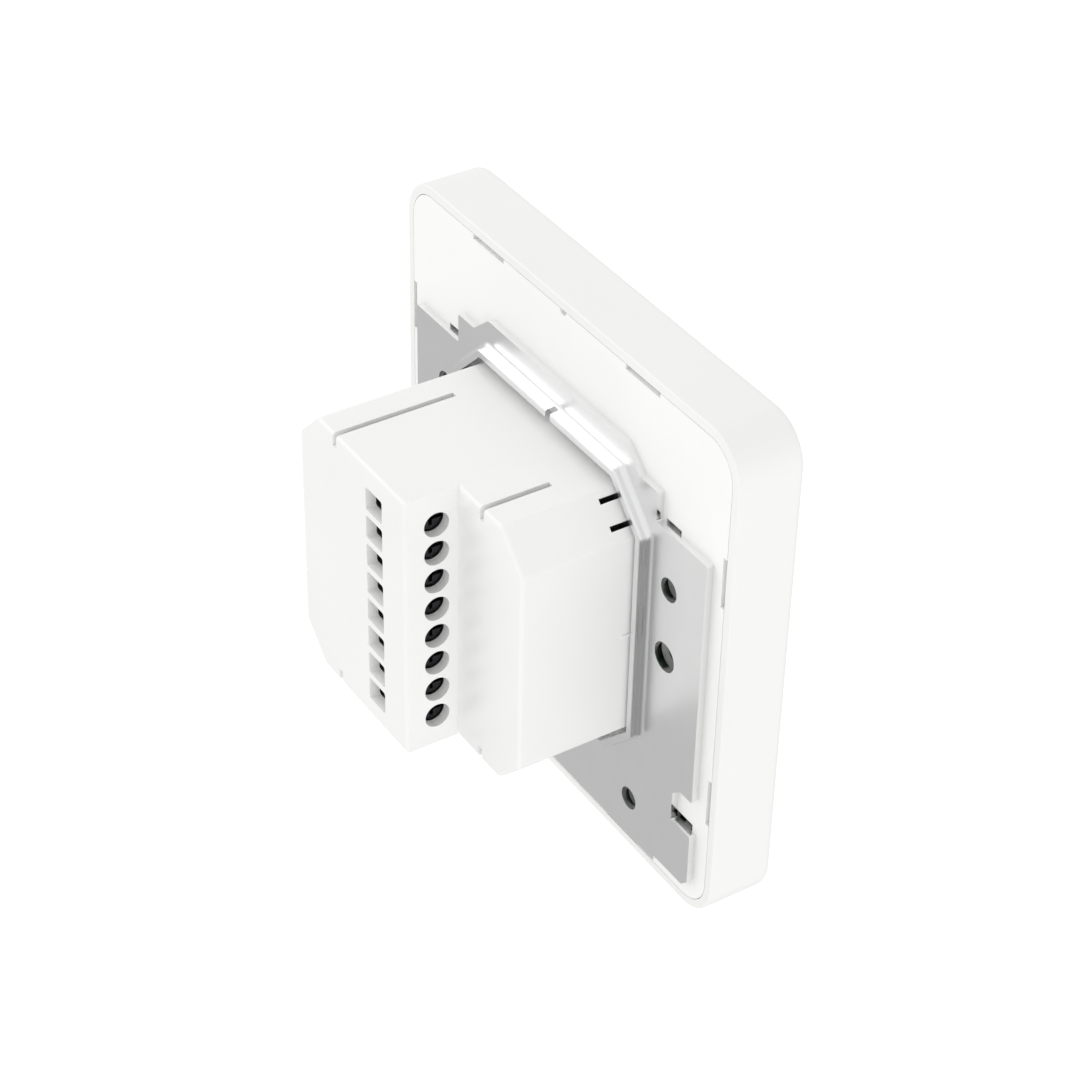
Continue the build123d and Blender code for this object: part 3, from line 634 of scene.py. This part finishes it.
def display_segments():
    """The reading, the degree ring, the fan bars and the frost star."""
    bm = bmesh.new()
    base = 8 * MM
    stroke = 1.7 * MM
    digit(bm, "2", -17 * MM, base, 8.5 * MM, 16 * MM, stroke)
    digit(bm, "1", -4 * MM, base, 8.5 * MM, 16 * MM, stroke)
    dot = 0.85 * MM
    plate_of(
        bm,
        [(8 * MM - dot, base - dot), (8 * MM + dot, base - dot), (8 * MM + dot, base + dot),
         (8 * MM - dot, base + dot)],
        SEGMENT_FRONT, SEGMENT_BACK,
    )
    digit(bm, "5", 11 * MM, base, 5 * MM, 9 * MM, 1.2 * MM)
    ring(bm, 13.5 * MM, base + 14.2 * MM, 1.1 * MM, 1.7 * MM)
    for n in range(4):
        left = (10 + 2.4 * n) * MM
        top = (-3.2 + 1.3 * n) * MM
        bottom = -4.4 * MM
        outline = [(left, bottom), (left + 1.4 * MM, bottom), (left + 1.4 * MM, top), (left, top)]
        plate_of(bm, outline, SEGMENT_FRONT, SEGMENT_BACK)
    for n in range(6):
        angle = math.radians(60 * n + 30)
        reach = Vector((math.cos(angle), math.sin(angle)))
        start = Vector((-16, -2.2)) * MM + reach * 0.5 * MM
        end = start + reach * 2.0 * MM
        plate_of(bm, bar(start.x, start.y, end.x, end.y, 0.5 * MM), SEGMENT_FRONT, SEGMENT_BACK)
    return keep(bm, "display_segments", segment_light, "front_unit")


segments = display_segments()

# %% [markdown]
# ## Chip resistors and solder joints
#
# The control board carries rows of chip resistors between the display and the keys. Each is a
# dark ceramic body 1.6 by 0.8 mm with a bright tin cap at both ends. The solder joints on the
# power board are small cones that rise around each contact strip. They are made as cones with a
# narrow top, one for each strip, at the places that the frame's own pieces give.

# %% Parts on the boards
BOARD_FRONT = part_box("main_board")[0].y


def chip_resistors():
    """Two rows of chip resistors on the front of the main board, with their tin caps."""
    bodies, caps = bmesh.new(), bmesh.new()
    for row in range(2):
        for column in range(12):
            x = (column - 5.5) * 4.6 * MM
            z = (-13.0 - 3.0 * row) * MM
            back = BOARD_FRONT - 0.01 * MM
            front = back - 0.45 * MM
            half_x, half_z = 0.8 * MM, 0.4 * MM
            low = (x - half_x + 0.3 * MM, front, z - half_z)
            high = (x + half_x - 0.3 * MM, back, z + half_z)
            bevelled_box(bodies, low, high, 0.05 * MM)
            for side in (-1, 1):
                middle = x + side * (half_x - 0.13 * MM)
                low = (middle - 0.15 * MM, front - 0.02 * MM, z - half_z - 0.01 * MM)
                high = (middle + 0.15 * MM, back, z + half_z + 0.01 * MM)
                bevelled_box(caps, low, high, 0.05 * MM)
    keep(bodies, "chip_resistor_bodies", chip_epoxy, "front_unit")
    keep(caps, "chip_resistor_caps", tin_solder, "front_unit")


def solder_joints():
    """A small cone of solder around every contact strip on the front of the power board."""
    bm = bmesh.new()
    board_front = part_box("power_board")[0].y
    strips_low, strips_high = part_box("terminal_contacts")
    middle_x = (strips_low.x + strips_high.x) / 2
    height = 0.8 * MM
    for number in range(1, 9):
        low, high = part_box("terminal_screw_" + str(number))
        place = Vector((middle_x, board_front - height / 2, (low.z + high.z) / 2))
        turned = Matrix.Translation(place) @ Matrix.Rotation(math.radians(90), 4, "X")
        bmesh.ops.create_cone(
            bm, cap_ends=True, segments=20, radius1=0.55 * MM, radius2=1.0 * MM,
            depth=height, matrix=turned @ Matrix.Rotation(math.pi, 4, "X"),
        )
    piece = keep(bm, "solder_joints", tin_solder, "base")
    for face in piece.data.polygons:
        face.use_smooth = True
    return piece


chip_resistors()
solder_joints()

# %% [markdown]
# ## Floor, cards and lights
#
# White plastic on a white ground is a high key picture: the shades differ by only a few percent,
# so the light has to be broad and come from everywhere. A pale world does most of it. A soft key
# light above gives the tops a little more, and a weaker fill evens out one side; the metal does
# not mirror the fill. The floor lies well below, since the thermostat hangs on a wall. Bare metal
# shows its surroundings, so it also needs something to reflect. The cards are that: a grey ground
# and a darker card, which only reflections see.

# %% Stage
GROUND_Z = -300 * MM


def card(name, x_range, y_range, z, radiance):
    """A flat card that only reflections see, with an even brightness."""
    bm = bmesh.new()
    corners = [(x, y, z) for x, y in (
        (x_range[0], y_range[0]), (x_range[1], y_range[0]),
        (x_range[1], y_range[1]), (x_range[0], y_range[1]),
    )]
    bm.faces.new([bm.verts.new(c) for c in corners])
    mesh = bpy.data.meshes.new(name)
    bm.to_mesh(mesh)
    bm.free()
    material = bpy.data.materials.new(name)
    material.use_nodes = True
    tree = material.node_tree
    tree.nodes.clear()
    glow = add(tree, "ShaderNodeEmission", {"Color": (1, 1, 1, 1), "Strength": radiance})
    add(tree, "ShaderNodeOutputMaterial", {"Surface": glow.outputs["Emission"]})
    mesh.materials.append(material)
    made = bpy.data.objects.new(name, mesh)
    bpy.context.scene.collection.objects.link(made)
    made.visible_camera = False
    made.visible_diffuse = False
    made.visible_shadow = False
    made.visible_transmission = False
    return made


def pale_floor():
    """A wide plain floor, nearly white."""
    bm = bmesh.new()
    bmesh.ops.create_grid(bm, x_segments=1, y_segments=1, size=6.0)
    mesh = bpy.data.meshes.new("floor")
    bm.to_mesh(mesh)
    bm.free()
    floor = bpy.data.objects.new("floor", mesh)
    floor.location.z = GROUND_Z - 20 * MM
    bpy.context.scene.collection.objects.link(floor)
    material, tree, surface, place = begin("painted_white_floor", {"Roughness": 0.9})
    surface.inputs["Base Color"].default_value = linear("FAFAFA")
    surface.inputs["Specular IOR Level"].default_value = 0.0
    surface.inputs["Emission Color"].default_value = linear("FFFFFF")
    surface.inputs["Emission Strength"].default_value = 0.12
    mesh.materials.append(material)


def soft_light(name, place, target, size, watts):
    """A square soft box that looks at a point."""
    lamp = bpy.data.lights.new(name, "AREA")
    lamp.size = size
    lamp.energy = watts
    made = bpy.data.objects.new(name, lamp)
    made.location = place
    made.rotation_mode = "QUATERNION"
    made.rotation_quaternion = (Vector(target) - Vector(place)).to_track_quat("-Z", "Y")
    bpy.context.scene.collection.objects.link(made)
    return made


pale_floor()
card("grey_ground_card", (-2.0, 2.0), (-2.0, 2.0), GROUND_Z - 5 * MM, 0.56)
card("dark_card", (-0.62, -0.12), (-0.02, 0.5), GROUND_Z, 0.31)
soft_light("key_soft_light", (0.67, 0.44, 0.62), (0, 0, 0), 0.7, 1.9)
fill = soft_light("fill_soft_light", (-0.9, 0.3, 0.0), (0, 0, 0), 0.7, 1.1)
fill.visible_glossy = False

world = bpy.data.worlds.new("pale_studio")
bpy.context.scene.world = world
world.use_nodes = True
world.node_tree.nodes["Background"].inputs["Color"].default_value = (1.0, 1.0, 1.0, 1.0)
world.node_tree.nodes["Background"].inputs["Strength"].default_value = 0.92
bpy.context.scene.view_settings.view_transform = "Standard"
print("stage ready")

# %% [markdown]
# ## The camera
#
# The camera stands behind the thermostat, to its right as one looks at its back, and above it.
# Four plain values say where: the turn around the object, the height above the horizon, the
# distance from a point near the middle of the plate, and a small roll, as a hand held camera
# has. A long lens keeps the far edges of the front nearly parallel.

# %% Camera
AZIMUTH, ELEVATION, ROLL = 236.75, 37.01, 1.26
DISTANCE = 435 * MM
LENS_MM = 97.32
TARGET = Vector((1.78, 0.68, 0.60)) * MM


def place_camera():
    """A camera given by its angles around the target."""
    turn, lift = math.radians(AZIMUTH), math.radians(ELEVATION)
    back = Vector((
        math.sin(turn) * math.cos(lift), -math.cos(turn) * math.cos(lift), math.sin(lift)
    ))
    camera = bpy.data.objects.new("camera", bpy.data.cameras.new("camera"))
    camera.data.lens = LENS_MM
    camera.data.sensor_width = 36.0
    camera.data.clip_start = 0.01
    camera.location = TARGET + back * DISTANCE
    camera.rotation_mode = "QUATERNION"
    roll = Quaternion((0.0, 0.0, 1.0), math.radians(ROLL))
    camera.rotation_quaternion = (-back).to_track_quat("-Z", "Y") @ roll
    bpy.context.scene.collection.objects.link(camera)
    bpy.context.scene.camera = camera
    return camera


camera = place_camera()
print("camera at mm:", [round(v / MM, 1) for v in camera.location])
